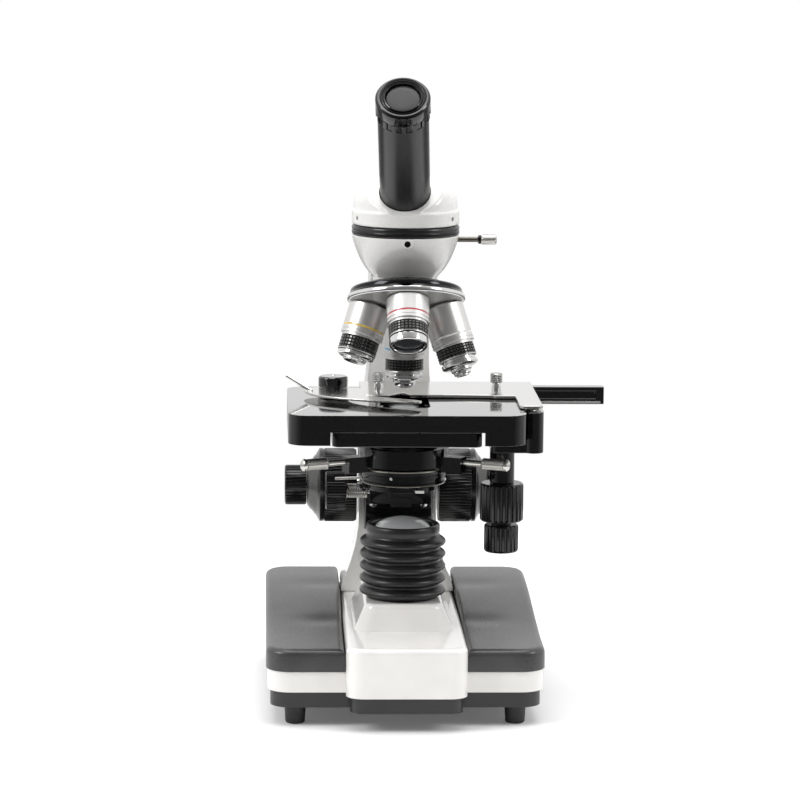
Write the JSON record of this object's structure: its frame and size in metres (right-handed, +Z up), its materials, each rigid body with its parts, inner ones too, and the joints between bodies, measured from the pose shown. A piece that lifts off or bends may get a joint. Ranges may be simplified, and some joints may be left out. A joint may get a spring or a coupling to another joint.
{
  "type": "compound microscope",
  "caption": "Upright monocular light microscope with a revolving nosepiece, mechanical stage, condenser and built-in lamp on a weighted stand.",
  "frame": {"origin": "centre of the bounding box in X and Y, on the table under the feet", "axes": "+Z up along the stand, -Y towards the user, +X to the user's right"},
  "size_m": [0.1986, 0.2172, 0.3629],
  "materials": {
    "white_paint": "white gloss stove enamel on die-cast aluminium",
    "pad_plastic": "satin moulded plastic",
    "cover_plastic": "satin moulded plastic",
    "rubber": "matt black rubber",
    "black_anodised": "black anodised, satin",
    "black_plastic": "black moulded plastic, ribbed",
    "chrome": "bright chrome plate",
    "satin_chrome": "satin chrome plate",
    "steel": "plated steel",
    "glass": "polished optical glass",
    "lens_coated": "coated optical glass"
  },
  "bodies": {
    "stand": {"base_casting": "white_paint", "pad_left": "pad_plastic", "pad_right": "pad_plastic", "bottom_cover": "cover_plastic", "foot_front_left": "rubber", "foot_front_right": "rubber", "foot_rear_left": "rubber", "foot_rear_right": "rubber", "arm": "white_paint", "head_ring": "black_anodised", "bellows": "rubber", "collector_tube": "black_anodised", "collector_lens": "glass", "lamp_bulb": "glass", "lamp_socket": "cover_plastic", "power_inlet": "black_plastic", "nosepiece_mount": "black_anodised"},
    "power_rocker": {"rocker_switch": "black_plastic"},
    "dimmer": {"dimmer_knob": "black_plastic"},
    "head_lock": {"head_lock_screw": "steel"},
    "head": {"head_housing": "white_paint", "eyepiece_tube": "black_anodised", "prism": "glass"},
    "eyepiece": {"eyepiece_body": "black_plastic", "eye_lens": "lens_coated"},
    "turret": {"turret_shell": "chrome", "objective_40x_barrel": "satin_chrome", "objective_10x_barrel": "satin_chrome", "objective_4x_barrel": "satin_chrome", "objective_100x_barrel": "satin_chrome", "objective_10x_nose": "chrome", "objective_4x_nose": "chrome", "objective_4x_lens": "lens_coated"},
    "nose_40x": {"objective_40x_nose": "chrome"},
    "nose_100x": {"objective_100x_nose": "chrome"},
    "carriage": {"focus_carriage": "black_anodised"},
    "coarse_drive": {"coarse_shaft": "steel", "coarse_knob_left": "black_plastic", "coarse_knob_right": "black_plastic"},
    "fine_drive": {"fine_knob_left": "black_plastic", "fine_knob_right": "black_plastic"},
    "stage_base": {"stage_bracket": "black_anodised", "stage_lower_plate": "black_anodised"},
    "stage_y": {"stage_upper_plate": "black_anodised", "stage_drive_post": "black_anodised"},
    "y_drive": {"y_knob": "black_plastic"},
    "x_drive": {"x_knob": "black_plastic"},
    "stage_x": {"x_rail": "black_anodised", "specimen_holder": "steel"},
    "clamp_left": {"holder_screw_left": "chrome"},
    "clamp_right": {"holder_screw_right": "chrome"},
    "finger": {"slide_finger": "steel"},
    "condenser": {"condenser_body": "black_anodised", "condenser_carrier": "black_anodised", "condenser_lens": "glass"},
    "iris": {"iris_lever": "steel"},
    "filter": {"filter_ring": "black_anodised"},
    "centring_left": {"centring_screw_left": "steel"},
    "centring_right": {"centring_screw_right": "steel"},
    "condenser_drive": {"condenser_knob": "black_plastic"}
  },
  "joints": [
    {"name": "power_rocker", "type": "hinge", "parent": "stand", "child": "power_rocker", "pos_m": [-0.02675, 0.09478, 0.033], "axis": [1, 0, 0], "range_deg": [-8, 8]},
    {"name": "dimmer_turn", "type": "hinge", "parent": "stand", "child": "dimmer", "pos_m": [-0.04475, 0.10128, 0.033], "axis": [0, 1, 0], "range_deg": [0, 270]},
    {"name": "head_lock_turn", "type": "hinge", "parent": "stand", "child": "head_lock", "pos_m": [0.01925, -0.02492, 0.2678], "axis": [1, 0, 0], "continuous": true},
    {"name": "head_turn", "type": "hinge", "parent": "stand", "child": "head", "pos_m": [-0.02075, -0.02492, 0.2768], "axis": [0, 0, 1], "continuous": true},
    {"name": "eyepiece_slide", "type": "slide", "parent": "head", "child": "eyepiece", "axis": [-0.0493, -0.7054, 0.7071], "range_m": [0, 0.03]},
    {"name": "turret_turn", "type": "hinge", "parent": "stand", "child": "turret", "pos_m": [-0.02075, -0.02492, 0.294], "axis": [0, 0.2924, 0.9563], "continuous": true},
    {"name": "nose_40x_retract", "type": "slide", "parent": "turret", "child": "nose_40x", "axis": [0, 0, 1], "range_m": [0, 0.0015], "stiffness_N_per_m": 400, "springref_m": -0.001},
    {"name": "nose_100x_retract", "type": "slide", "parent": "turret", "child": "nose_100x", "axis": [-0.2924, 0.2796, 0.9145], "range_m": [0, 0.0015], "stiffness_N_per_m": 400, "springref_m": -0.001},
    {"name": "coarse_focus", "type": "slide", "parent": "stand", "child": "carriage", "axis": [0, 0, 1], "range_m": [-0.01, 0.002]},
    {"name": "coarse_turn", "type": "hinge", "parent": "stand", "child": "coarse_drive", "pos_m": [-0.02075, 0.06708, 0.1105], "axis": [1, 0, 0], "range_deg": [-24, 118]},
    {"name": "fine_turn", "type": "hinge", "parent": "stand", "child": "fine_drive", "pos_m": [-0.02075, 0.06708, 0.1105], "axis": [1, 0, 0], "range_deg": [-1800, 1800]},
    {"name": "fine_focus", "type": "slide", "parent": "carriage", "child": "stage_base", "axis": [0, 0, 1], "range_m": [-0.001, 0.001]},
    {"name": "stage_y_travel", "type": "slide", "parent": "stage_base", "child": "stage_y", "axis": [0, 1, 0], "range_m": [-0.012, 0.01]},
    {"name": "y_knob_turn", "type": "hinge", "parent": "stage_y", "child": "y_drive", "pos_m": [0.03585, -0.02492, 0.1281], "axis": [0, 0, 1], "range_deg": [-212, 177]},
    {"name": "stage_x_travel", "type": "slide", "parent": "stage_y", "child": "stage_x", "axis": [1, 0, 0], "range_m": [-0.056, 0.014]},
    {"name": "x_knob_turn", "type": "hinge", "parent": "stage_y", "child": "x_drive", "pos_m": [0.03585, -0.02492, 0.1058], "axis": [0, 0, 1], "range_deg": [-976, 246]},
    {"name": "clamp_left_turn", "type": "hinge", "parent": "stage_x", "child": "clamp_left", "pos_m": [-0.03425, 0.00908, 0.1777], "axis": [0, 0, 1], "continuous": true},
    {"name": "clamp_right_turn", "type": "hinge", "parent": "stage_x", "child": "clamp_right", "pos_m": [0.03425, 0.00908, 0.1777], "axis": [0, 0, 1], "continuous": true},
    {"name": "finger_open", "type": "hinge", "parent": "stage_x", "child": "finger", "pos_m": [-0.06075, 0.00208, 0.1777], "axis": [0, 0, 1], "range_deg": [-34, 0], "stiffness_Nm_per_rad": 0.05, "springref_deg": 17.19},
    {"name": "condenser_lift", "type": "slide", "parent": "stage_base", "child": "condenser", "axis": [0, 0, 1], "range_m": [-0.005, 0]},
    {"name": "condenser_turn", "type": "hinge", "parent": "stage_base", "child": "condenser_drive", "pos_m": [-0.02075, 0.02108, 0.115], "axis": [1, 0, 0], "range_deg": [-1, 50]},
    {"name": "iris_turn", "type": "hinge", "parent": "condenser", "child": "iris", "pos_m": [-0.02075, -0.02492, 0.1313], "axis": [0, 0, 1], "range_deg": [-35, 25]},
    {"name": "filter_swing", "type": "hinge", "parent": "condenser", "child": "filter", "pos_m": [-0.04325, -0.02492, 0.1274], "axis": [0, 0, 1], "range_deg": [-110, 0]},
    {"name": "centring_left_turn", "type": "hinge", "parent": "condenser", "child": "centring_left", "pos_m": [-0.06153, -0.04394, 0.1421], "axis": [-0.9063, -0.4226, 0], "continuous": true},
    {"name": "centring_right_turn", "type": "hinge", "parent": "condenser", "child": "centring_right", "pos_m": [0.02003, -0.04394, 0.1421], "axis": [0.9063, -0.4226, 0], "continuous": true}
  ],
  "couplings": [
    {"joint": "coarse_turn", "follows": "coarse_focus", "rad_per_m": -204.08},
    {"joint": "fine_turn", "follows": "fine_focus", "rad_per_m": -31400},
    {"joint": "y_knob_turn", "follows": "stage_y_travel", "rad_per_m": 303},
    {"joint": "x_knob_turn", "follows": "stage_x_travel", "rad_per_m": 303},
    {"joint": "condenser_turn", "follows": "condenser_lift", "rad_per_m": -171}
  ]
}
